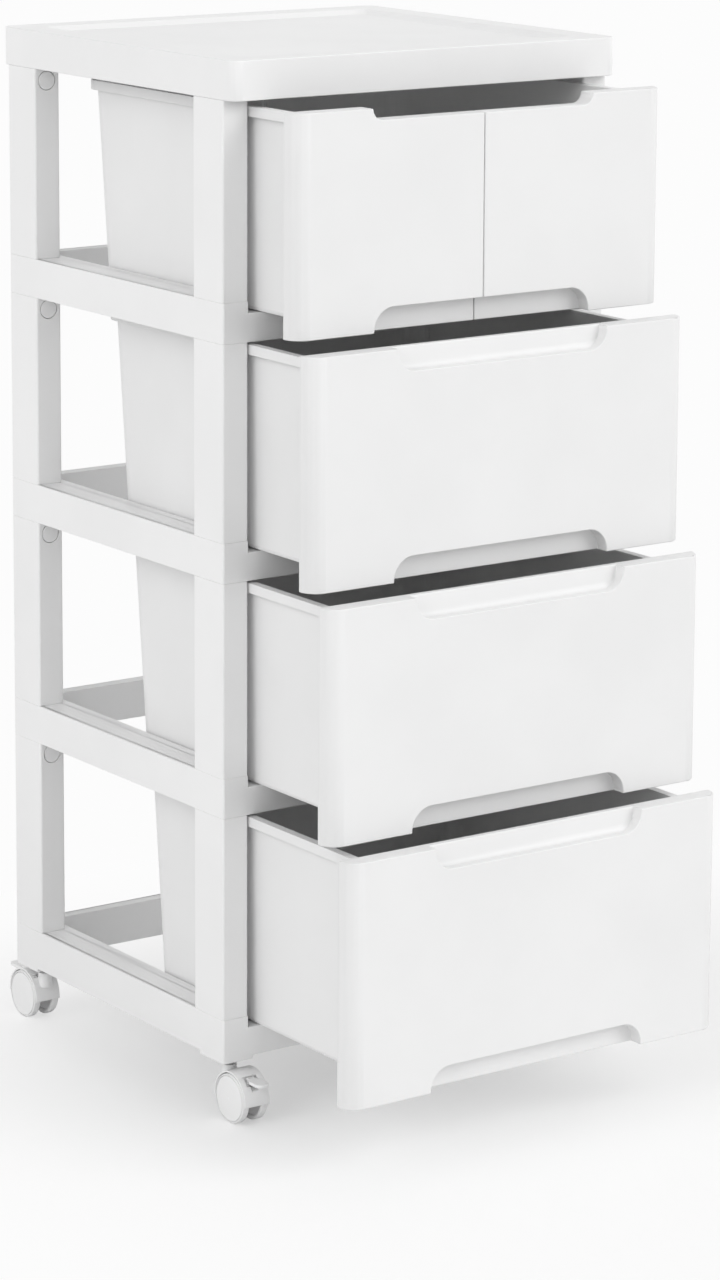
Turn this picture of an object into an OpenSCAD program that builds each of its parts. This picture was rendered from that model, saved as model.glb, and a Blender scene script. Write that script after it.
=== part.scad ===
// Plastic drawer tower on four twin-wheel casters. Shelf frames are stacked on hollow
// corner posts under a dished tray. The top tier holds two half-width drawers side by
// side, and the three tiers below hold one wide drawer each.
// X runs across, Y from the drawer fronts (-Y) to the back, and Z up from the floor.

/* [Tower] */
// Width over the corner posts
frame_w = 370; // [340:1:460]
// Depth over the corner posts
frame_d = 320; // [290:1:400]
// Height of the posts in the upper three tiers
upper_post_h = 156; // [130:1:220]
// Height of the posts that stand on the base frame
lower_post_h = 164.5; // [140:0.5:240]

/* [Shelf frames] */
// Height of a shelf frame at its sides and corners
rail_h = 32; // [28:0.5:44]
// Height of the base frame, with its foot pads
base_h = 36; // [34:0.5:46]
// How far the top of the front rail lies below the side rails
front_rail_drop = 9.5; // [6:0.5:12]
// Width of a side rail
side_rail_w = 29.5; // [26.5:0.5:36]
// Depth of the front and rear rails
cross_rail_d = 12; // [10:0.5:18]
// Width of the bar down the middle of a frame
centre_bar_w = 24; // [18:1:40]
// Width of the ledge that a drawer slides on
ledge_w = 16; // [10:1:24]
// Thickness of that ledge
ledge_t = 2.5; // [2:0.1:4]
// Wall thickness of the frames
frame_wall = 2.6; // [2:0.1:3.2]
// Thickness of the ribs inside the rails
rib_t = 2; // [1.5:0.1:3]
// Largest distance between two ribs in a rail
rib_pitch = 58; // [40:1:90]

/* [Posts] */
// Width of a post, along X
post_w = 23.5; // [22:0.5:25.5]
// Depth of a post, along Y
post_d = 42; // [36:0.5:50]
// Radius of the corner edges of posts and frames
post_r = 2; // [1:0.5:5]
// Wall thickness of a post
post_wall = 2.6; // [2:0.1:3]
// Length of the spigots that plug into a post
spigot_h = 22; // [18:0.5:30]
// Wall thickness of a spigot
spigot_wall = 2.4; // [2:0.1:3]
// Gap between a spigot and the inside of its post
spigot_fit = 0.3; // [0.1:0.05:0.5]
// Diameter of the head of a snap peg
peg_head_d = 15; // [12:0.5:16]
// Thickness of that head
peg_head_t = 2.4; // [1.5:0.1:2.8]
// Gap round that head in its seat
peg_gap = 0.5; // [0.3:0.05:0.8]
// Diameter of the shank of a snap peg
peg_shank_d = 9; // [6:0.5:10]
// Whole length of a snap peg
peg_l = 8; // [6.5:0.5:9]
// How far the centre of a peg lies below the top of its post
peg_drop = 10; // [9:0.5:12]

/* [Top tray] */
// Height of the tray
tray_h = 31; // [24:1:44]
// How far the tray stands out in front of the posts
tray_front = 14; // [4:1:24]
// How far the tray stands out behind the posts
tray_rear = 10; // [2:1:20]
// Corner radius of the tray
tray_r = 9.5; // [7:0.5:14]
// Wall thickness of the tray
tray_wall = 2.8; // [2:0.1:4]
// Width of the flat rim round the sunken panel
tray_rim = 25; // [18:1:36]
// Depth of the sunken panel
tray_dish = 4; // [2:0.5:8]
// Width of the slope from the rim down to the panel
tray_slope = 7; // [4:0.5:12]
// Height of the ribs under the tray
tray_rib_h = 12; // [6:1:18]

/* [Drawer fronts] */
// How far the front of the top pair stands open
open_1 = 69; // [0:1:200]
// How far the second drawer stands open
open_2 = 97; // [0:1:200]
// How far the third drawer stands open
open_3 = 123; // [0:1:200]
// How far the bottom drawer stands open
open_4 = 150; // [0:1:200]
// Width left free at each side of the top pair
top_front_margin = 8.5; // [4:0.5:12]
// Width left free at each side of a wide front
wide_front_margin = 4.5; // [3:0.5:12]
// Depth of a front from its face to its rear edge
front_t = 16; // [15:0.5:24]
// Radius of the upright edges of a front
front_r = 14; // [4:0.5:14]
// Wall thickness of a front
front_wall = 2.5; // [2:0.1:3]
// Gap between a shut front and the posts
front_gap = 0.5; // [0.3:0.1:2]
// Gap between the two fronts of the top pair
pair_gap = 0.8; // [0.4:0.1:2]
// How far the top pair hangs below the corners of its frame
top_front_drop = 19; // [12:0.5:22]
// How far the second front hangs below the corners of its frame
second_front_drop = 20; // [14:0.5:24]
// How far the third front hangs below the corners of its frame
third_front_drop = 23.5; // [14:0.5:26]
// How far the bottom front hangs below the corners of the base frame
bottom_front_drop = 27.5; // [16:0.5:30]
// Gap between the top pair and the tray
top_front_clear = 3; // [2:0.5:14]
// How far a wide front reaches above the underside of the frame over it
wide_front_lap = 5; // [0.5:0.5:6]
// How far the bottom front reaches above the underside of the frame over it
bottom_front_lap = 2.5; // [0.5:0.5:4]

/* [Finger pulls] */
// Width of the recess in the lower edge
arch_w = 206; // [120:1:260]
// Height of that recess
arch_h = 19.5; // [14:0.5:24]
// Corner radius of that recess
arch_r = 18; // [6:0.5:20]
// Thickness of the wall at the back of that recess
recess_wall = 2; // [1.6:0.1:2.4]
// Width of the finger scoop
scoop_w = 200; // [100:1:240]
// Height of the scoop
scoop_h = 18; // [12:0.5:26]
// Corner radius of the scoop
scoop_r = 16; // [6:0.5:17]
// Depth of the scoop at the top
scoop_depth = 10.5; // [7:0.5:11]
// How far the back of the scoop leans forward at its foot
scoop_lean = 1.5; // [0.5:0.5:3]
// Radius of the fillet at the foot of the scoop
scoop_fillet = 4; // [2:0.5:6]
// Width of the notch in the top edge of the top pair
notch_w = 210; // [100:1:240]
// Height of the notch
notch_h = 9; // [6:0.5:16]
// Corner radius of the notch
notch_r = 9; // [4:0.5:9]

/* [Drawer tubs] */
// Wall thickness of a tub
tub_wall = 2.2; // [1.6:0.1:3]
// Gap between a tub and the side rails beside it
tub_side_gap = 0.5; // [0.3:0.1:1.5]
// Gap between a tub and the rail and ledges it slides on
tub_seat = 0.3; // [0.2:0.05:0.6]
// Gap between the flange of a tub and the posts
flange_post_gap = 1.4; // [0.6:0.1:2]
// Thickness of the flange
flange_t = 2; // [1.5:0.1:3]
// Height of the skirt that hangs from the flange
skirt_h = 8; // [5:0.5:14]
// How much each side leans in towards the bottom
tub_side_taper = 2; // [1:0.5:6]
// How much the sides between the tubs of the top pair lean in towards the bottom
tub_inner_taper = 0.5; // [0.3:0.1:2]
// How much the rear wall leans in towards the bottom
tub_rear_taper = 13; // [11:0.5:20]
// Radius of the rear corners
tub_rear_r = 20; // [8:1:30]
// Radius of the front corners
tub_front_r = 3; // [1:0.5:6]
// Radius of the edge round the bottom
tub_foot_r = 4; // [2:0.5:8]
// Space left behind a shut tub
tub_rear_clear = 2; // [1:0.5:6]
// How far the front wall of a tub reaches into the hollow of its front
tub_front_lap = 1.5; // [1:0.1:2.2]
// Gap between the rim of a wide tub and the frame above it
rim_clear = 2; // [1.5:0.5:6]
// Gap between the two tubs of the top pair
tub_pair_gap = 1; // [0.6:0.1:3]
// How far the walls between those two tubs lie below their rims
pair_wall_drop = 42; // [20:1:70]
// Corner radius of the opening that lowers these walls
pair_wall_r = 12; // [4:1:18]
// Width of a stop tab
stop_w = 20; // [10:1:40]
// Thickness of a stop tab
stop_t = 3; // [2:0.5:5]
// Height of a stop tab
stop_h = 7; // [5:0.5:9]
// How far the stop tabs lie ahead of the rear of the tub's bottom
stop_inset = 45; // [30:1:90]
// Width of a clip that holds a front on its tub
clip_w = 10; // [6:0.5:16]
// Thickness of a clip
clip_t = 2.5; // [2:0.1:4]
// Height of the barb on a clip
clip_barb = 1.4; // [0.8:0.1:2]
// Gap round a clip in its slot
clip_fit = 0.3; // [0.2:0.05:0.5]

/* [Casters] */
// Diameter of a wheel
wheel_d = 40; // [36:1:50]
// Width of a wheel
wheel_w = 7; // [6:0.5:9]
// Space between the two wheels of a caster
wheel_space = 11; // [10:0.5:14]
// Gap between the tread and the hood
hood_gap = 1; // [0.6:0.1:2]
// Thickness of the hood over the wheels
hood_t = 1.4; // [1.2:0.1:2.4]
// Width of the hood
hood_w = 23; // [19:0.5:24]
// How far the hood reaches below the axle
hood_low = 2; // [0:0.5:5]
// Gap between the web of the hood and a wheel
web_gap = 0.4; // [0.3:0.05:1]
// How far the axle trails the stem
trail = 18; // [17:0.5:24]
// Diameter of the axle
axle_d = 5; // [4:0.5:6]
// Diameter of the stem
stem_d = 8; // [6:0.5:9]
// Length of the stem inside the base frame
stem_seat_h = 22; // [16:0.5:24]
// Length of the stem inside the hood
stem_in_hood = 11; // [8:0.5:12]
// Diameter of the collar on the stem
collar_d = 14; // [11:0.5:18]
// Thickness of the collar
collar_t = 2.2; // [1.5:0.1:4]
// Outer diameter of the boss that holds a stem in the base
stem_boss_d = 16; // [14:0.5:18]
// Outer diameter of the sleeve that holds it in the hood
sleeve_d = 12; // [11:0.5:14]
// Outer diameter of the boss round the axle
axle_boss_d = 11; // [9:0.5:14]
// Distance of the stem from the side of the tower
stem_side = 17.5; // [15:0.5:19]
// Distance of the stem from the front or back of the tower
stem_inset = 18; // [16:0.5:22]
// Space between the hood and the foot pad above it
caster_gap = 6.6; // [5:0.1:14]
// Width of a foot pad
pad_w = 28; // [27:0.5:29.5]
// Depth of a foot pad
pad_d = 34; // [32:1:42]
// Thickness of a foot pad
pad_t = 3; // [2:0.5:5]
// Gap round turning shafts, on the radius
run_fit = 0.05; // [0.02:0.01:0.1]
// Width of the groove round the cap of a wheel
groove_w = 0.8; // [0.5:0.1:1.2]
// Depth of that groove
groove_d = 1.6; // [0.6:0.1:2]
// Width of the rim outside the groove
wheel_lip = 1.1; // [1:0.1:1.6]
// How far the middle of the cap stands out past the rim
cap_dome = 0.5; // [0.2:0.1:0.8]
// Wall thickness of a wheel
wheel_wall = 2.7; // [2.2:0.1:3.4]

/* [Brake levers] */
// Width of the pedal
lever_w = 12; // [11:0.5:18]
// Thickness of the pedal
lever_t = 2.5; // [2:0.1:4]
// How far the pedal reaches out from the axle
lever_reach = 33; // [28:0.5:36]
// Corner radius of the pedal
pedal_r = 5; // [1:0.5:5]
// Where the pedal begins, out from the axle
pedal_start = 16; // [15.5:0.5:18]
// Height of the middle of the pedal above the axle
lever_up = 17.5; // [17:0.5:19]
// Where the pivot lies, out from the axle
pivot_out = 9; // [8:0.5:10]
// Where the pivot lies, up from the axle
pivot_up = 14; // [13.5:0.5:15]
// Width of the arm inside the hood
arm_w = 6; // [4:0.5:6.5]
// Diameter of the pivot pin
pin_d = 3; // [2:0.5:4]
// Gap beside the lever in its slots, and over it
lever_gap = 0.4; // [0.3:0.05:0.6]
// Room under the pedal for pressing it down
pedal_play = 3; // [2.8:0.1:4]

/* [Hidden] */
$fn = 64;
hull_fn = 32; // segments of the round corners inside a hull
eps = 0.01; // overlap that joins two pieces of one solid
cut = 1; // how far a cutter runs past the face that it opens
least_r = 0.5; // smallest radius of a round corner that is drawn in

TIERS = [1 : 4];
ENDS = ["front", "rear"];
SIDES = ["left", "right"];
POSTS = [for (t = TIERS, e = ENDS, s = SIDES) str("post_", t, "_", e, "_", s)];
PEGS = [for (t = TIERS) str("snap_pegs_", t)];
PAIR = [for (s = SIDES, p = ["_tub", "_front"]) str("drawer_1_", s, p)];
WIDE = [for (t = [2 : 4], p = ["_tub", "_front"]) str("drawer_", t, p)];
CASTER_PARTS = ["stem", "hood", "axle", "wheel_left", "wheel_right", "brake_lever"];
CASTERS = [for (e = ENDS, s = SIDES, p = CASTER_PARTS) str("caster_", e, "_", s, "_", p)];
FRAMES = ["top_tray", "shelf_frame_1", "shelf_frame_2", "shelf_frame_3", "base_frame"];

body_white = "#ebebeb";
front_white = "#eeeeee";
tub_grey = "#dcdcdc";
caster_white = "#e9e9e9";
steel_grey = "#b4b7ba";

// Heights of the caster and of the stack above it
wheel_r = wheel_d / 2;
hood_in_r = wheel_r + hood_gap;
hood_out_r = hood_in_r + hood_t;
hood_top = wheel_r + hood_out_r;
base_z = hood_top + caster_gap;
function frame_h(t) = t == 4 ? base_h : rail_h;
function post_h(t) = t == 4 ? lower_post_h : upper_post_h;
function frame_z(t) = t == 4 ? base_z : ceiling_z(t + 1);
function post_z(t) = frame_z(t) + frame_h(t);
function ceiling_z(t) = post_z(t) + post_h(t);
function tub_z(t) = post_z(t) - front_rail_drop + tub_seat;
tray_z = ceiling_z(1);

// Fronts: how far each stands open, and where it starts and ends
open_by = [open_1, open_2, open_3, open_4];
front_drop = [top_front_drop, second_front_drop, third_front_drop, bottom_front_drop];
front_lap = [-top_front_clear, wide_front_lap, wide_front_lap, bottom_front_lap];
function front_z(t) = post_z(t) - front_drop[t - 1];
function front_h(t) = ceiling_z(t) + front_lap[t - 1] - front_z(t);
function rim_z(t) = ceiling_z(t) - (t == 1 ? top_front_clear + front_wall + clip_fit : rim_clear);
function tub_h(t) = rim_z(t) - tub_z(t);
pair_half = frame_w / 2 - top_front_margin;
wide_half = frame_w / 2 - wide_front_margin;
recess_y = -tub_front_lap - clip_fit; // rear face of the wall at the back of a recess
scoop_wall = front_wall - 0.5; // a little thinner, as the wall of the scoop is curved

// Depth of the whole tower, which is centred on the origin at rest
front_reach = max(open_by) + front_gap + front_t;
rear_reach = max(lever_reach + trail - stem_inset, tray_rear);
front_y = (front_reach - rear_reach - frame_d) / 2;

// Tubs
tub_half = frame_w / 2 - side_rail_w - tub_side_gap;
flange_half = frame_w / 2 - post_w - flange_post_gap;
flange_w = flange_half - tub_half;
tub_l = frame_d - tub_rear_clear - flange_w + front_gap;
tub_foot_l = tub_l - tub_rear_taper;
foot_step = tub_foot_r * 0.3; // middle step of the rounding round the bottom
pair_wall_y = tub_wall + tub_front_r + cut; // where the walls between the top pair get lower
clip_out = 0.2; // share of a tub's width that lies outside its clips
clip_low = 0.3; // share of a tub's height that lies under its lower clips

// Spigots and their pockets
spigot_w = post_w - 2 * (post_wall + spigot_fit);
spigot_d = post_d - 2 * (post_wall + spigot_fit);
spigot_r = 1.5; // corner radius of the spigots
pocket_w = spigot_w - 2 * spigot_wall;
pocket_d = spigot_d - 2 * spigot_wall;

// Casters and levers
web_w = wheel_space - 2 * web_gap;
cap_wall = 1.3; // plastic between the end of an axle and the face of its wheel
axle_l = wheel_space + 2 * (wheel_w - cap_wall);
stem_end_z = hood_top - stem_in_hood;
sleeve_z = stem_end_z - tub_seat - hood_t;
arm_slot_w = arm_w + 2 * lever_gap;
arm_room = 1; // room for the arm to turn, beside its pivot and behind the pedal
pedal_slot_w = lever_w + 2 * lever_gap;
pedal_low = lever_up - lever_t / 2;
slot_top = lever_up + lever_t / 2 + 2 * lever_gap;

// Rectangle with round corners, centred on the origin
module round_rect(w, d, r) {
    square([w - 2 * r, d], center = true);
    square([w, d - 2 * r], center = true);
    for (x = [-1, 1], y = [-1, 1])
        translate([x * (w / 2 - r), y * (d / 2 - r)])
            circle(r);
}

// U-shaped opening that stands on Z = 0 and is open at its top, drawn in X and Z
module u_shape(w, h, r) {
    translate([-w / 2 + r, 0])
        square([w - 2 * r, h]);
    translate([-w / 2, r])
        square([w, max(h - r, eps)]);
    for (x = [-1, 1])
        translate([x * (w / 2 - r), r])
            circle(r);
}

// Extrudes a shape drawn in X and Z towards +Y, from y0 to y1
module along_y(y0, y1) {
    translate([0, y1, 0])
        rotate([90, 0, 0])
            linear_extrude(y1 - y0)
                children();
}

// Extrudes a shape drawn in Y and Z across X, half to each side
module across_x(w) {
    rotate([90, 0, 90])
        linear_extrude(w, center = true)
            children();
}

// Puts a shape at a corner: x and y run inwards from the outer faces there
module at_corner(end, side) {
    mirror([side == "right" ? 1 : 0, 0, 0])
        translate([0, front_y + frame_d / 2, 0])
            mirror([0, end == "rear" ? 1 : 0, 0])
                translate([-frame_w / 2, -frame_d / 2, 0])
                    children();
}

// ---- Frames and tray ----

// Row of pockets along X or Y with ribs left between them
module pockets(length, width, height) {
    count = ceil(length / rib_pitch);
    pitch = (length + rib_t) / count;
    for (i = [0 : count - 1])
        translate([i * pitch, 0, 0])
            cube([pitch - rib_t, width, height]);
}

// Outline of a frame, from above
module frame_outline() {
    translate([0, frame_d / 2])
        round_rect(frame_w, frame_d, post_r);
}

// Rails of a frame before they are hollowed, standing on Z = 0
module rails(h, low_h) {
    linear_extrude(h)
        intersection() {
            frame_outline();
            union() {
                for (x = [-1, 1])
                    translate([x * (frame_w - side_rail_w) / 2, frame_d / 2])
                        square([side_rail_w, frame_d + cut], center = true);
                translate([-frame_w / 2, frame_d - cross_rail_d])
                    square([frame_w, cross_rail_d]);
            }
        }
    translate([-frame_w / 2 + side_rail_w - eps, 0, 0])
        cube([frame_w - 2 * side_rail_w + 2 * eps, cross_rail_d, low_h]);
    translate([-centre_bar_w / 2, cross_rail_d - eps, 0])
        cube([centre_bar_w, frame_d - 2 * cross_rail_d + 2 * eps, low_h]);
    for (x = [0, 1])
        mirror([x, 0, 0])
            translate([-frame_w / 2 + side_rail_w - eps, cross_rail_d - eps, low_h - ledge_t])
                cube([ledge_w + eps, frame_d - 2 * cross_rail_d + 2 * eps, ledge_t]);
}

// Pockets under the rails
module rail_pockets(h, low_h) {
    side_l = frame_d - 2 * post_d;
    cross_l = frame_w / 2 - side_rail_w - centre_bar_w / 2;
    bar_l = frame_d - 2 * cross_rail_d;
    for (x = [0, 1])
        mirror([x, 0, 0]) {
            translate([-frame_w / 2 + side_rail_w - frame_wall, post_d, -cut])
                rotate([0, 0, 90])
                    pockets(side_l, side_rail_w - 2 * frame_wall, h - frame_wall + cut);
            translate([centre_bar_w / 2, frame_wall, -cut])
                pockets(cross_l, cross_rail_d - 2 * frame_wall, low_h - frame_wall + cut);
            translate([centre_bar_w / 2, frame_d - cross_rail_d + frame_wall, -cut])
                pockets(cross_l, cross_rail_d - 2 * frame_wall, h - frame_wall + cut);
        }
    translate([centre_bar_w / 2 - frame_wall, cross_rail_d, -cut])
        rotate([0, 0, 90])
            pockets(bar_l, centre_bar_w - 2 * frame_wall, low_h - frame_wall + cut);
}

// Lowers the corner beside a post to the level of the front rail
module front_steps(h, low_h) {
    for (x = [0, 1])
        mirror([x, 0, 0])
            translate([-frame_w / 2 + post_w, -cut, low_h])
                cube([side_rail_w - post_w + cut, cross_rail_d + cut, h - low_h + cut]);
}

// Spigot at a corner, from z0 up to z1
module spigot(z0, z1) {
    translate([post_w / 2, post_d / 2, z0])
        linear_extrude(z1 - z0)
            round_rect(spigot_w, spigot_d, spigot_r);
}

// Hollow of a spigot, from z0 up to z1
module spigot_pocket(z0, z1) {
    translate([(post_w - pocket_w) / 2, (post_d - pocket_d) / 2, z0])
        cube([pocket_w, pocket_d, z1 - z0]);
}

// Hole for the shank of a snap peg, in a spigot that hangs below z
module shank_hole(z) {
    translate([post_w / 2, post_d - peg_l - cut, z - peg_drop])
        rotate([-90, 0, 0])
            cylinder(h = peg_l + 2 * cut, r = peg_shank_d / 2 + run_fit);
}

module at_all_corners() {
    for (e = ENDS, s = SIDES)
        at_corner(e, s)
            children();
}

// Shelf frame, which plugs into the posts above and below it
module shelf_frame(t) {
    low_h = rail_h - front_rail_drop;
    color(body_white)
        translate([0, 0, frame_z(t)])
            difference() {
                union() {
                    translate([0, front_y, 0])
                        difference() {
                            rails(rail_h, low_h);
                            rail_pockets(rail_h, low_h);
                            front_steps(rail_h, low_h);
                        }
                    at_all_corners() {
                        spigot(-spigot_h, eps);
                        spigot(rail_h - eps, rail_h + spigot_h);
                    }
                }
                at_all_corners() {
                    spigot_pocket(-spigot_h - cut, rail_h - frame_wall);
                    spigot_pocket(rail_h, rail_h + spigot_h + cut);
                    shank_hole(0);
                }
            }
}

// Base frame, with a foot pad and a socket for the stem of a caster at each corner
module base_frame() {
    h = base_h - pad_t;
    low_h = h - front_rail_drop;
    color(body_white)
        translate([0, 0, base_z])
            difference() {
                union() {
                    translate([0, front_y, pad_t])
                        difference() {
                            rails(h, low_h);
                            rail_pockets(h, low_h);
                            front_steps(h, low_h);
                        }
                    at_all_corners() {
                        translate([0, 0, base_h - eps])
                            spigot(0, spigot_h);
                        foot_pad();
                    }
                }
                at_all_corners() {
                    spigot_pocket(base_h, base_h + spigot_h + cut);
                    foot_pockets();
                    translate([stem_side, stem_inset, -cut])
                        cylinder(h = stem_seat_h + tub_seat + cut, r = stem_d / 2 + run_fit);
                }
            }
}

// Foot pad under a corner of the base frame
module foot_pad() {
    linear_extrude(pad_t + eps) {
        translate([post_r, 0])
            square([pad_w - post_r, pad_d]);
        translate([0, post_r])
            square([post_r + eps, pad_d - post_r]);
        translate([post_r, post_r])
            circle(post_r);
    }
}

// Pockets in the underside of a foot pad, with a cross of ribs round the stem's boss
module foot_pockets() {
    inner_w = pad_w - 2 * frame_wall;
    inner_d = pad_d - 2 * frame_wall;
    difference() {
        translate([frame_wall, frame_wall, -cut])
            cube([inner_w, inner_d, base_h - frame_wall + cut]);
        translate([stem_side, stem_inset, -2 * cut])
            cylinder(h = base_h + cut, d = stem_boss_d);
        translate([stem_side - rib_t / 2, 0, -2 * cut])
            cube([rib_t, pad_d, base_h + cut]);
        translate([0, stem_inset - rib_t / 2, -2 * cut])
            cube([side_rail_w, rib_t, base_h + cut]);
    }
}

// Outline of the tray, drawn in by a distance all round
module tray_outline(inset) {
    translate([0, (frame_d + tray_rear - tray_front) / 2])
        round_rect(frame_w - 2 * inset, frame_d + tray_front + tray_rear - 2 * inset,
            max(tray_r - inset, least_r));
}

// Sunken panel of the tray, with its sloping edge
module tray_dish_cut() {
    foot = tray_rim + tray_slope;
    hull() {
        translate([0, 0, tray_h - tray_dish])
            linear_extrude(eps)
                dish_outline(foot);
        translate([0, 0, tray_h])
            linear_extrude(cut)
                dish_outline(tray_rim);
    }
}

module dish_outline(inset) {
    translate([0, (frame_d + tray_rear - tray_front) / 2])
        round_rect(frame_w - 2 * inset, frame_d + tray_front + tray_rear - 2 * inset,
            tray_r, $fn = hull_fn);
}

// Hollow under the tray: higher under the rim than under the sunken panel
module tray_hollow() {
    panel_z = tray_h - tray_dish - tray_wall;
    difference() {
        translate([0, 0, -cut])
            linear_extrude(panel_z + cut)
                tray_outline(tray_wall);
        tray_ribs(panel_z);
    }
    translate([0, 0, panel_z - eps])
        linear_extrude(tray_dish)
            difference() {
                tray_outline(tray_wall);
                tray_outline(tray_rim - tray_wall);
            }
}

// Ribs under the tray, three each way
module tray_ribs(panel_z) {
    depth = frame_d + tray_front + tray_rear;
    for (i = [-1, 0, 1]) {
        translate([i * frame_w / 4 - rib_t / 2, -tray_front, panel_z - tray_rib_h])
            cube([rib_t, depth, tray_rib_h + cut]);
        translate([-frame_w / 2, frame_d / 2 + i * frame_d / 4 - rib_t / 2, panel_z - tray_rib_h])
            cube([frame_w, rib_t, tray_rib_h + cut]);
    }
}

module top_tray() {
    block_h = tray_h - tray_dish - eps;
    color(body_white)
        translate([0, 0, tray_z])
            difference() {
                union() {
                    translate([0, front_y, 0])
                        difference() {
                            linear_extrude(tray_h)
                                tray_outline(0);
                            tray_dish_cut();
                            tray_hollow();
                        }
                    at_all_corners() {
                        cube([post_w, post_d, block_h - tray_wall]);
                        spigot(-spigot_h, eps);
                    }
                }
                at_all_corners() {
                    spigot_pocket(-spigot_h - cut, block_h - 2 * tray_wall);
                    shank_hole(0);
                }
            }
}

// ---- Posts and snap pegs ----

// Hollow post, with the seat of a snap peg near its top
module post(t, end, side) {
    h = post_h(t);
    color(body_white)
        translate([0, 0, post_z(t)])
            at_corner(end, side)
                difference() {
                    translate([post_w / 2, post_d / 2, 0])
                        linear_extrude(h)
                            difference() {
                                round_rect(post_w, post_d, post_r);
                                square([post_w - 2 * post_wall, post_d - 2 * post_wall],
                                    center = true);
                            }
                    translate([post_w / 2, post_d - post_wall - cut, h - peg_drop])
                        rotate([-90, 0, 0])
                            cylinder(h = post_wall + 2 * cut, r = peg_head_d / 2 + peg_gap);
                }
}

// Four snap pegs that lock the tops of one tier's posts to the spigots inside them
module snap_pegs(t) {
    color(body_white)
        translate([0, 0, ceiling_z(t) - peg_drop])
            at_all_corners()
                translate([post_w / 2, post_d, 0])
                    rotate([90, 0, 0]) {
                        cylinder(h = peg_head_t, d = peg_head_d);
                        cylinder(h = peg_l, d = peg_shank_d);
                    }
}

// ---- Drawer fronts ----

// Plan of a front from x0 to x1, drawn in by a distance, with a radius at each end
module front_plan(x0, x1, r0, r1, inset) {
    a = x0 + inset;
    b = x1 - inset;
    ra = max(r0 - inset, least_r);
    rb = max(r1 - inset, least_r);
    face = -front_t + inset;
    intersection() {
        union() {
            translate([a + ra, face])
                square([b - a - ra - rb, -face]);
            translate([a, face + ra])
                square([ra + eps, -face - ra]);
            translate([b - rb - eps, face + rb])
                square([rb + eps, -face - rb]);
            translate([a + ra, face + ra])
                circle(ra);
            translate([b - rb, face + rb])
                circle(rb);
        }
        translate([a, face])
            square([b - a, -face]);
    }
}

// Finger scoop, grown by a wall on every side, with its foot at Z = 0
module scoop(grow) {
    back = -front_t + scoop_depth + grow;
    foot = back - scoop_lean;
    r = scoop_fillet + grow;
    top = scoop_h + cut;
    intersection() {
        along_y(-front_t - cut, 0)
            translate([0, -grow])
                u_shape(scoop_w + 2 * grow, top + grow, scoop_r + grow);
        across_x(scoop_w + 2 * grow + cut)
            translate([0, -grow]) {
                polygon([[-front_t - cut, 0], [foot - r, 0], [foot, r], [back, top + grow],
                    [-front_t - cut, top + grow]]);
                translate([foot - r, r])
                    circle(r);
            }
    }
}

// Recess in the lower edge, grown by a wall
module arch(grow, y0, y1) {
    along_y(y0, y1)
        translate([0, arch_h + grow])
            mirror([0, 1])
                u_shape(arch_w + 2 * grow, arch_h + grow + cut, arch_r + grow);
}

// Notch through the top edge of the top pair, grown by a wall
module notch(h, grow) {
    along_y(-front_t - cut, cut)
        translate([0, h - notch_h - grow])
            u_shape(notch_w + 2 * grow, notch_h + grow + cut, notch_r + grow);
}

// Places of the clips of a drawer whose tub runs from x0 to x1
function clip_x(x0, x1) = [x0 + (x1 - x0) * clip_out, x1 - (x1 - x0) * clip_out];
function clip_z(t) = [tub_z(t) + tub_h(t) * clip_low, tub_z(t) + tub_h(t) * (1 - clip_low)];

// Clips on the back of a front, and the ribs that rest on the tub beside them
module clips(t, x0, x1) {
    plate = -front_t + front_wall - eps;
    inside = -tub_front_lap + tub_wall;
    for (x = clip_x(x0, x1)) {
        for (z = clip_z(t)) {
            translate([x - clip_w / 2, plate, z])
                cube([clip_w, inside + clip_t + clip_fit - plate, clip_t]);
            translate([x, 0, z + clip_t - eps])
                across_x(clip_w)
                    polygon([[inside + clip_fit, 0], [inside + clip_fit, clip_barb],
                        [inside + clip_t + clip_fit, 0]]);
        }
        for (side = [-1, 1])
            translate([x + side * clip_w - rib_t / 2, plate, clip_z(t)[0]])
                cube([rib_t, -tub_front_lap - plate, clip_z(t)[1] - clip_z(t)[0]]);
    }
}

// Slots in the front wall of a tub for those clips
module clip_slots(t, x0, x1) {
    for (x = clip_x(x0, x1), z = clip_z(t))
        translate([x - clip_w / 2 - clip_fit, -tub_front_lap - cut, z - clip_fit])
            cube([clip_w + 2 * clip_fit, tub_wall + 2 * cut, clip_t + clip_barb + 2 * clip_fit]);
}

// Front from x0 to x1; r0 and r1 are the radii of its upright edges
module front(t, x0, x1, r0, r1, tub_x0, tub_x1) {
    h = front_h(t);
    color(front_white)
        translate([0, front_y - front_gap - open_by[t - 1], 0]) {
            translate([0, 0, front_z(t)])
                difference() {
                    intersection() {
                        union() {
                            difference() {
                                linear_extrude(h)
                                    front_plan(x0, x1, r0, r1, 0);
                                translate([0, 0, front_wall])
                                    linear_extrude(h - 2 * front_wall)
                                        union() {
                                            front_plan(x0, x1, r0, r1, front_wall);
                                            translate([x0 + front_wall, -cut])
                                                square([x1 - x0 - 2 * front_wall, 2 * cut]);
                                        }
                            }
                            arch(front_wall, -front_t + eps, recess_y);
                            if (t == 1)
                                notch(h, front_wall);
                            else
                                translate([0, 0, h - scoop_h])
                                    scoop(scoop_wall);
                        }
                        linear_extrude(h)
                            front_plan(x0, x1, r0, r1, 0);
                    }
                    arch(0, -front_t - cut, recess_y - recess_wall);
                    if (t == 1) {
                        notch(h, 0);
                        pair_relief(x1, h);
                    }
                    else
                        translate([0, 0, h - scoop_h])
                            scoop(0);
                }
            clips(t, tub_x0, tub_x1);
        }
}

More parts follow.
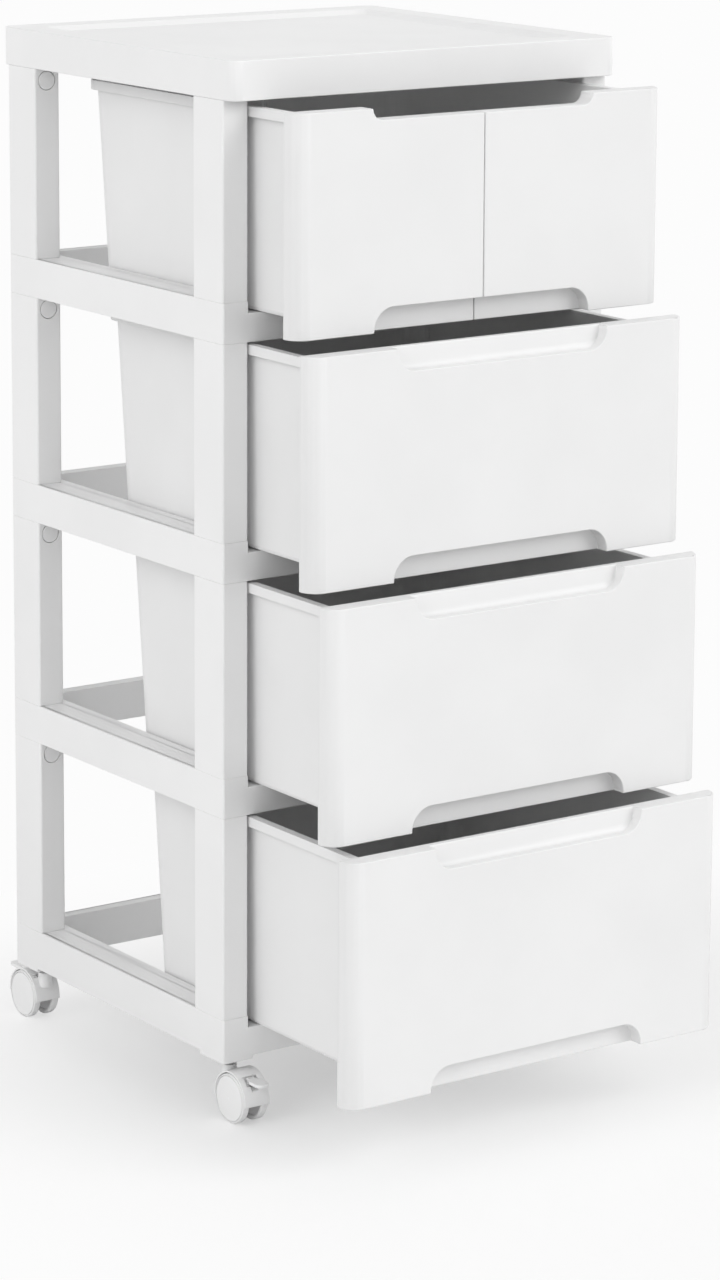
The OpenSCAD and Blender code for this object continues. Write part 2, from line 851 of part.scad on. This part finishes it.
// Keeps the wall beside the split of the top pair clear of the tub's front wall
module pair_relief(x1, h) {
    translate([x1 - front_wall - cut, recess_y, front_wall])
        cube([front_wall + 2 * cut, tub_front_lap + 2 * clip_fit,
            h - notch_h - 2 * front_wall]);
}

// ---- Drawer tubs ----

// One level of a tub's outline, as four thin discs for a hull
module tub_level(x0, x1, y1, z, inset, r_rear) {
    corners = [
        [x0 + inset + tub_front_r, -tub_front_lap + inset + tub_front_r, tub_front_r],
        [x1 - inset - tub_front_r, -tub_front_lap + inset + tub_front_r, tub_front_r],
        [x0 + inset + r_rear, y1 - inset - r_rear, r_rear],
        [x1 - inset - r_rear, y1 - inset - r_rear, r_rear]
    ];
    for (c = corners)
        translate([c[0], c[1], z])
            cylinder(h = eps, r = c[2], $fn = hull_fn);
}

// Tapered tub body between the foot [f0, f1] and the rim [x0, x1], drawn in by a wall
module tub_body(f0, f1, x0, x1, h, inset, extra) {
    r_rear = tub_rear_r - inset;
    hull() {
        tub_level(f0, f1, tub_foot_l, inset, inset + tub_foot_r, r_rear - tub_foot_r);
        tub_level(f0, f1, tub_foot_l, inset + foot_step, inset + foot_step, r_rear - foot_step);
        tub_level(f0, f1, tub_foot_l, inset + tub_foot_r, inset, r_rear);
        tub_level(x0, x1, tub_l, h + extra - eps, inset, r_rear);
    }
}

// Plan of the flange, drawn in by a distance; on a side without a flange it ends in the wall
module flange_plan(x0, x1, out0, out1, inset) {
    in_wall = inset / 2 - tub_wall / 3;
    a = x0 - (out0 > 0 ? out0 - inset : in_wall);
    b = x1 + (out1 > 0 ? out1 - inset : in_wall);
    r = tub_rear_r + flange_w - inset;
    back = tub_l + flange_w - inset;
    translate([a, 0])
        square([b - a, back - r]);
    translate([a + r, 0])
        square([b - a - 2 * r, back]);
    for (x = [a + r, b - r])
        translate([x, back - r])
            circle(r);
}

// Tub from x0 to x1 at its rim; out0 and out1 are the flange widths at its two sides
module tub(t, x0, x1, out0, out1, stops) {
    h = tub_h(t);
    f0 = x0 + (out0 > 0 ? tub_side_taper : tub_inner_taper);
    f1 = x1 - (out1 > 0 ? tub_side_taper : tub_inner_taper);
    notch_x = -notch_w / 2 - front_wall - clip_fit;
    color(tub_grey)
        translate([0, front_y - front_gap - open_by[t - 1], 0])
            difference() {
                translate([0, 0, tub_z(t)])
                    difference() {
                        union() {
                            tub_body(f0, f1, x0, x1, h, 0, 0);
                            translate([0, 0, h - flange_t])
                                linear_extrude(flange_t)
                                    flange_plan(x0, x1, out0, out1, 0);
                            translate([0, 0, h - skirt_h])
                                linear_extrude(skirt_h)
                                    difference() {
                                        flange_plan(x0, x1, out0, out1, 0);
                                        flange_plan(x0, x1, out0, out1, flange_t);
                                    }
                            for (x = stops)
                                translate([x - stop_w / 2, tub_foot_l - stop_inset, -stop_h])
                                    cube([stop_w, stop_t, stop_h + tub_wall / 2]);
                        }
                        tub_body(f0, f1, x0, x1, h, tub_wall, cut);
                        if (t == 1) {
                            translate([notch_x, -tub_front_lap - cut, h - notch_h])
                                cube([x1 - notch_x + cut, tub_front_lap + pair_wall_y + 2 * cut,
                                    notch_h + cut]);
                            pair_wall_cut(x1, h);
                        }
                    }
                clip_slots(t, x0, x1);
            }
}

// Opening that lowers the wall at x1, beside the other tub of the top pair
module pair_wall_cut(x1, h) {
    y1 = tub_l - tub_rear_r - flange_w;
    translate([x1, (pair_wall_y + y1) / 2, h - pair_wall_drop])
        across_x(2 * (tub_wall + tub_inner_taper))
            u_shape(y1 - pair_wall_y, pair_wall_drop + cut, pair_wall_r);
}

module wide_drawer_tub(t) {
    tub(t, -tub_half, tub_half, flange_w, flange_w, [-tub_half / 2, tub_half / 2]);
}

module wide_drawer_front(t) {
    front(t, -wide_half, wide_half, front_r, front_r, -tub_half, tub_half);
}

// The halves of the top pair are mirror images of each other
module half_drawer_tub(side) {
    mirror([side == "right" ? 1 : 0, 0, 0])
        tub(1, -tub_half, -tub_pair_gap / 2, flange_w, 0, [-tub_half / 2]);
}

module half_drawer_front(side) {
    mirror([side == "right" ? 1 : 0, 0, 0])
        front(1, -pair_half, -pair_gap / 2, front_r, 1, -tub_half, -tub_pair_gap / 2);
}

// ---- Casters ----

// Puts a shape under a corner: the stem's axis is x = y = 0, and the axle trails to -Y
module at_caster(end, side) {
    x = frame_w / 2 - stem_side;
    translate([side == "left" ? -x : x, front_y + frame_d / 2, 0])
        mirror([0, end == "rear" ? 1 : 0, 0])
            translate([0, -frame_d / 2 + stem_inset, 0])
                children();
}

// Turns [out, up] from the axle into the caster's Y and Z
module from_axle(w) {
    translate([0, -trail, wheel_r])
        mirror([0, 1, 0])
            across_x(w)
                children();
}

module caster_stem() {
    color(steel_grey) {
        translate([0, 0, stem_end_z])
            cylinder(h = base_z + stem_seat_h - stem_end_z, d = stem_d);
        translate([0, 0, base_z - collar_t])
            cylinder(h = collar_t, d = collar_d);
    }
}

// Side view of the hood: a little more than the upper half of a disc
module hood_side() {
    intersection() {
        circle(hood_out_r);
        translate([-hood_out_r, -hood_low])
            square([2 * hood_out_r, hood_out_r + hood_low]);
    }
}

// Sleeve for the stem, kept clear of the wheels beside it
module stem_sleeve() {
    difference() {
        translate([0, 0, sleeve_z])
            cylinder(h = hood_top - sleeve_z, d = sleeve_d);
        for (x = [-1, 1])
            translate([x * (web_w + sleeve_d) / 2, 0, 0])
                from_axle(sleeve_d)
                    circle(hood_in_r);
    }
}

// Hood over both wheels, with a web between them that carries the axle and the lever
module caster_hood() {
    color(caster_white)
        difference() {
            union() {
                from_axle(hood_w)
                    difference() {
                        hood_side();
                        circle(hood_in_r);
                    }
                from_axle(web_w) {
                    hood_side();
                    circle(d = axle_boss_d);
                }
                stem_sleeve();
            }
            translate([0, 0, stem_end_z - tub_seat])
                cylinder(h = stem_in_hood + tub_seat + cut, r = stem_d / 2 + run_fit);
            from_axle(web_w + cut)
                circle(axle_d / 2 + run_fit);
            from_axle(web_w + cut)
                translate([pivot_out, pivot_up])
                    circle(pin_d / 2 + run_fit);
            from_axle(arm_slot_w)
                translate([pivot_out - pin_d - arm_room, pivot_up - pin_d - arm_room])
                    square([hood_out_r, slot_top - pivot_up + pin_d + arm_room]);
            from_axle(pedal_slot_w)
                translate([pivot_out + arm_room, pedal_low - pedal_play])
                    square([hood_out_r, slot_top - pedal_low + pedal_play]);
        }
}

module caster_axle() {
    color(steel_grey)
        from_axle(axle_l)
            circle(axle_d / 2);
}

// Wheel with a domed cap, a groove round it, and a hollow inner side round its hub
module wheel(side) {
    bore_r = axle_d / 2 + run_fit;
    bore_l = axle_l / 2 - wheel_space / 2 + run_fit;
    lip_r = wheel_r - wheel_lip;
    cap_r = lip_r - groove_w;
    edge = wheel_lip - 0.3; // chamfer along the outer edge of the tread
    inner_edge = 1; // chamfer along its inner edge
    face = wheel_w - cap_dome;
    rim = [[wheel_r, inner_edge], [wheel_r, face - edge], [wheel_r - edge, face], [lip_r, face],
        [lip_r, face - groove_d], [cap_r, face - groove_d]];
    cap = [[cap_r, face], [cap_r * 0.6, wheel_w - cap_dome / 4], [0, wheel_w]];
    hub = [[0, bore_l], [bore_r, bore_l], [bore_r, 0], [bore_r + wheel_wall, 0],
        [bore_r + wheel_wall, wheel_w / 2], [wheel_r - wheel_wall, wheel_w / 2],
        [wheel_r - wheel_wall, 0], [wheel_r - inner_edge, 0]];
    color(caster_white)
        translate([0, -trail, wheel_r])
            mirror([side == "left" ? 1 : 0, 0, 0])
                translate([wheel_space / 2, 0, 0])
                    rotate([0, 90, 0])
                        rotate_extrude()
                            polygon(concat(rim, cap, hub));
}

// Lever with its pivot pin, its arm in the slot of the hood and its pedal outside
module brake_lever() {
    color(caster_white) {
        from_axle(web_w)
            translate([pivot_out, pivot_up])
                circle(pin_d / 2);
        from_axle(arm_w) {
            translate([pivot_out, pivot_up])
                circle(pin_d);
            translate([pivot_out - pin_d, pivot_up])
                square([2 * pin_d, lever_up - pivot_up]);
            translate([pivot_out - pin_d, pedal_low])
                square([(pedal_start + lever_reach) / 2 - pivot_out + pin_d, lever_t]);
        }
        translate([0, -trail - (pedal_start + lever_reach) / 2, wheel_r + pedal_low])
            linear_extrude(lever_t)
                round_rect(lever_w, lever_reach - pedal_start, pedal_r);
    }
}

module caster_part(part, end, side) {
    at_caster(end, side) {
        if (part == "stem")
            caster_stem();
        if (part == "hood")
            caster_hood();
        if (part == "axle")
            caster_axle();
        if (part == "wheel_left")
            wheel("left");
        if (part == "wheel_right")
            wheel("right");
        if (part == "brake_lever")
            brake_lever();
    }
}

top_tray();
for (t = [1 : 3])
    shelf_frame(t);
base_frame();
for (t = TIERS, e = ENDS, s = SIDES)
    post(t, e, s);
for (t = TIERS)
    snap_pegs(t);
for (s = SIDES) {
    half_drawer_tub(s);
    half_drawer_front(s);
}
for (t = [2 : 4]) {
    wide_drawer_tub(t);
    wide_drawer_front(t);
}
for (e = ENDS, s = SIDES, p = CASTER_PARTS)
    caster_part(p, e, s);
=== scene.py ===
"""White plastic drawer tower on casters: its finish, the light, the floor and the camera."""
import math

import bpy
from mathutils import Matrix, Vector

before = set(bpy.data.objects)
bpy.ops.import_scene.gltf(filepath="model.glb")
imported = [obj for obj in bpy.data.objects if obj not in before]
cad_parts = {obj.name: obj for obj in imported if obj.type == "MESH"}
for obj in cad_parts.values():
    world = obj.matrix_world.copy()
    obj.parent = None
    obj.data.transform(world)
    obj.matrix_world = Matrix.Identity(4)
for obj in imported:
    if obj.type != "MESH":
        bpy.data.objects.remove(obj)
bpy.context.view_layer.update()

MM = 0.001
WHITE = (1, 1, 1, 1)

# The camera: where it stands, where it looks, and how long its lens is
CAMERA_PLACE = (-1.9565, -2.7946, 1.1668)
CAMERA_YAW = math.radians(35.125)
CAMERA_PITCH = math.radians(-10.243)
CAMERA_ROLL = math.radians(0.288)
CAMERA_CLIP = (0.1, 60)
FOCAL_PX = 4274.0
AXIS_ROW = 400
IMAGE_H = 1280
SENSOR = 36

# Light and backdrop: strengths, where a backdrop of 1 is white
SKY_LOW = 0.95
SKY_HIGH = 0.42
BACKDROP = 0.975
KEY_SUN = ("key", (2.2, -2.9, 2.3), 1.15, 40)
SIDE_SUN = ("side", (-3.4, -0.8, 1.8), 0.72, 40)

# Floor: its colour for other light and for the camera, and where its shadow fades out
FLOOR_SIZE = 30
FLOOR_DULL = (0.88, 0.88, 0.88, 1)
FLOOR_SHOWN = (0.64, 0.64, 0.64, 1)
FLOOR_GLOW = 0.36
SHADOW_PLACE = (0.12, -0.10, 0)
FADE_START = 0.26
FADE_END = 0.66

# Plastic: scale and detail of its noises, depth of its waves, spread of its colour and gloss
CLOUDS = (9, 3)
SPOTS = (60, 4)
WAVES = (14, 1)
GRAIN_DETAIL = 2
WAVE_DEPTH = 0.00006
CLOUD_BAND = (0.35, 0.65)
CLOUD_LEVELS = (-2, 1)
GLOSS_SPREAD = 0.05
PLASTIC_IOR = 1.49
SPECULAR = 0.4

# Each finish: grey level, roughness, scale of its grain and depth of its grain in metres
FINISHES = {
    "frame_white": (241, 0.42, 2600, 0.00002),
    "front_white": (233, 0.38, 2200, 0.00002),
    "tub_white": (236, 0.36, 1800, 0.000015),
    "caster_white": (244, 0.40, 2600, 0.00002),
    "steel": (180, 0.3, 3000, 0.00001),
}

# Rounded edges: which points count as one, which faces as flat, and which edges as sharp
WELD_REACH = 0.002 * MM
FLAT_ANGLE = math.radians(0.5)
SHARP_ANGLE = math.radians(28)
BEVEL_SEGMENTS = 3


def make_camera():
    data = bpy.data.cameras.new("camera")
    data.sensor_width = SENSOR
    data.lens = FOCAL_PX / IMAGE_H * SENSOR
    data.shift_y = (AXIS_ROW - IMAGE_H / 2) / IMAGE_H
    data.clip_start, data.clip_end = CAMERA_CLIP
    forward = Vector((math.sin(CAMERA_YAW) * math.cos(CAMERA_PITCH),
                      math.cos(CAMERA_YAW) * math.cos(CAMERA_PITCH),
                      math.sin(CAMERA_PITCH)))
    level = Vector((math.cos(CAMERA_YAW), -math.sin(CAMERA_YAW), 0))
    upright = level.cross(forward)
    right = level * math.cos(CAMERA_ROLL) + upright * math.sin(CAMERA_ROLL)
    turn = Matrix((right, right.cross(forward), -forward)).transposed().to_4x4()
    camera = bpy.data.objects.new("camera", data)
    camera.matrix_world = Matrix.Translation(CAMERA_PLACE) @ turn
    bpy.context.scene.collection.objects.link(camera)
    bpy.context.scene.camera = camera


# ---- Materials ----

def grey(level):
    """A neutral colour from its sRGB level, 0 to 255."""
    s = level / 255
    linear = s / 12.92 if s <= 0.04045 else ((s + 0.055) / 1.055) ** 2.4
    return (linear, linear, linear, 1)


class Nodes:
    """Short way to add and join the nodes of one material or world."""

    def __init__(self, owner):
        owner.use_nodes = True
        self.tree = owner.node_tree
        self.tree.nodes.clear()

    def add(self, kind, inputs=None, **settings):
        node = self.tree.nodes.new(kind)
        for key, value in settings.items():
            setattr(node, key, value)
        for key, value in (inputs or {}).items():
            if isinstance(value, bpy.types.NodeSocket):
                self.tree.links.new(value, node.inputs[key])
            else:
                node.inputs[key].default_value = value
        return node

    def noise(self, place, scale, detail):
        return self.add("ShaderNodeTexNoise", {"Vector": place, "Scale": scale,
                                               "Detail": detail}).outputs["Fac"]


def plastic(name, level, roughness, grain, grain_depth):
    """Moulded plastic: faint clouds of colour, uneven gloss, mould grain and slight waves."""
    material = bpy.data.materials.new(name)
    n = Nodes(material)
    place = n.add("ShaderNodeTexCoord").outputs["Object"]
    clouds = n.noise(place, *CLOUDS)
    spots = n.noise(place, *SPOTS)
    fine = n.noise(place, grain, GRAIN_DETAIL)
    wave = n.noise(place, *WAVES)
    colour = n.add("ShaderNodeValToRGB", {"Fac": clouds})
    for i in (0, 1):
        colour.color_ramp.elements[i].position = CLOUD_BAND[i]
        colour.color_ramp.elements[i].color = grey(level + CLOUD_LEVELS[i])
    gloss = n.add("ShaderNodeMapRange", {"Value": spots, "To Min": roughness - GLOSS_SPREAD,
                                         "To Max": roughness + GLOSS_SPREAD}).outputs["Result"]
    slow = n.add("ShaderNodeBump", {"Height": wave, "Distance": WAVE_DEPTH}).outputs["Normal"]
    bump = n.add("ShaderNodeBump", {"Height": fine, "Distance": grain_depth,
                                    "Normal": slow}).outputs["Normal"]
    shader = n.add("ShaderNodeBsdfPrincipled", {"Base Color": colour.outputs["Color"],
                                                "Roughness": gloss, "Normal": bump,
                                                "IOR": PLASTIC_IOR,
                                                "Specular IOR Level": SPECULAR})
    n.add("ShaderNodeOutputMaterial", {"Surface": shader.outputs[0]})
    return material


# ---- Light, floor and backdrop ----

def straight_ray(n):
    """1 for what the camera, a mirror or a clear piece looks at, and 0 for all other light."""
    path = n.add("ShaderNodeLightPath")
    most = path.outputs["Is Camera Ray"]
    for name in ("Is Glossy Ray", "Is Transmission Ray"):
        most = n.add("ShaderNodeMath", {0: most, 1: path.outputs[name]},
                     operation="MAXIMUM").outputs[0]
    return most


def make_world():
    """Pale sky, dimmer from above, in front of an even backdrop."""
    world = bpy.data.worlds.new("studio")
    bpy.context.scene.world = world
    n = Nodes(world)
    place = n.add("ShaderNodeTexCoord").outputs["Generated"]
    height = n.add("ShaderNodeSeparateXYZ", {0: place}).outputs["Z"]
    strength = n.add("ShaderNodeMapRange", {"Value": height, "To Min": SKY_LOW,
                                            "To Max": SKY_HIGH}).outputs["Result"]
    lit = n.add("ShaderNodeBackground", {"Color": WHITE, "Strength": strength}).outputs[0]
    shown = n.add("ShaderNodeBackground", {"Color": WHITE, "Strength": BACKDROP}).outputs[0]
    mixed = n.add("ShaderNodeMixShader", {0: straight_ray(n), 1: lit, 2: shown})
    n.add("ShaderNodeOutputWorld", {0: mixed.outputs[0]})


def make_floor():
    """White floor: it takes the soft shadow near the tower and fades into the backdrop."""
    mesh = bpy.data.meshes.new("floor")
    half = FLOOR_SIZE / 2
    mesh.from_pydata([(-half, -half, 0), (half, -half, 0), (half, half, 0), (-half, half, 0)],
                     [], [(0, 1, 2, 3)])
    floor = bpy.data.objects.new("floor", mesh)
    bpy.context.scene.collection.objects.link(floor)
    material = bpy.data.materials.new("floor_white")
    n = Nodes(material)
    path = n.add("ShaderNodeLightPath")
    place = n.add("ShaderNodeTexCoord").outputs["Object"]
    away = n.add("ShaderNodeVectorMath", {0: place, 1: SHADOW_PLACE},
                 operation="DISTANCE").outputs["Value"]
    fade = n.add("ShaderNodeMapRange", {"Value": away, "From Min": FADE_START,
                                        "From Max": FADE_END},
                 interpolation_type="SMOOTHSTEP").outputs["Result"]
    dull = n.add("ShaderNodeBsdfDiffuse", {"Color": FLOOR_DULL}).outputs[0]
    shown = n.add("ShaderNodeBsdfDiffuse", {"Color": FLOOR_SHOWN}).outputs[0]
    glow = n.add("ShaderNodeEmission", {"Strength": FLOOR_GLOW}).outputs[0]
    near = n.add("ShaderNodeAddShader", {0: shown, 1: glow}).outputs[0]
    far = n.add("ShaderNodeEmission", {"Strength": BACKDROP}).outputs[0]
    seen = n.add("ShaderNodeMixShader", {0: fade, 1: near, 2: far}).outputs[0]
    mixed = n.add("ShaderNodeMixShader", {0: path.outputs["Is Camera Ray"], 1: dull, 2: seen})
    n.add("ShaderNodeOutputMaterial", {"Surface": mixed.outputs[0]})
    mesh.materials.append(material)


def soft_sun(name, place, strength, spread):
    """Wide soft light from far away: place gives its direction, as seen from the tower."""
    data = bpy.data.lights.new(name, "SUN")
    data.energy = strength
    data.angle = math.radians(spread)
    lamp = bpy.data.objects.new(name, data)
    lamp.location = place
    lamp.rotation_euler = Vector(place).to_track_quat("Z", "Y").to_euler()
    bpy.context.scene.collection.objects.link(lamp)


# ---- Finish of the pieces ----

def soften(piece, width, whole_faces):
    """Rounds the sharp edges of a moulded piece; whole_faces joins its flat triangles first."""
    weld = piece.modifiers.new("weld", "WELD")
    weld.merge_threshold = WELD_REACH
    if whole_faces:
        flat = piece.modifiers.new("flat faces", "DECIMATE")
        flat.decimate_type = "DISSOLVE"
        flat.angle_limit = FLAT_ANGLE
    bevel = piece.modifiers.new("soft edges", "BEVEL")
    bevel.width = width
    bevel.segments = BEVEL_SEGMENTS
    bevel.limit_method = "ANGLE"
    bevel.angle_limit = SHARP_ANGLE
    bevel.use_clamp_overlap = False
    bevel.harden_normals = True
    bevel.miter_outer = "MITER_ARC"


def finish_of(name):
    """A node's finish, and the width of its rounded edges in millimetres."""
    if name.startswith("drawer") and name.endswith("_front"):
        return "front_white", 0.8
    if name.endswith("_tub"):
        return "tub_white", 0.4
    if "stem" in name or "axle" in name:
        return "steel", 0.3
    if name.startswith("caster"):
        return "caster_white", 0.3
    if name.startswith("top_tray"):
        return "frame_white", 0.8
    return "frame_white", 0.5


def finish_nodes():
    materials = {name: plastic(name, *values) for name, values in FINISHES.items()}
    for name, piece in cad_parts.items():
        finish, width = finish_of(name)
        for i in range(len(piece.material_slots)):
            piece.material_slots[i].link = "OBJECT"
            piece.material_slots[i].material = materials[finish]
        # Only on the fronts of the top pair do bare triangles leave creases in the shading
        soften(piece, width * MM, finish == "front_white" and name.startswith("drawer_1"))


make_camera()
make_world()
make_floor()
soft_sun(*KEY_SUN)
soft_sun(*SIDE_SUN)
finish_nodes()

bpy.context.scene.view_settings.view_transform = "Standard"
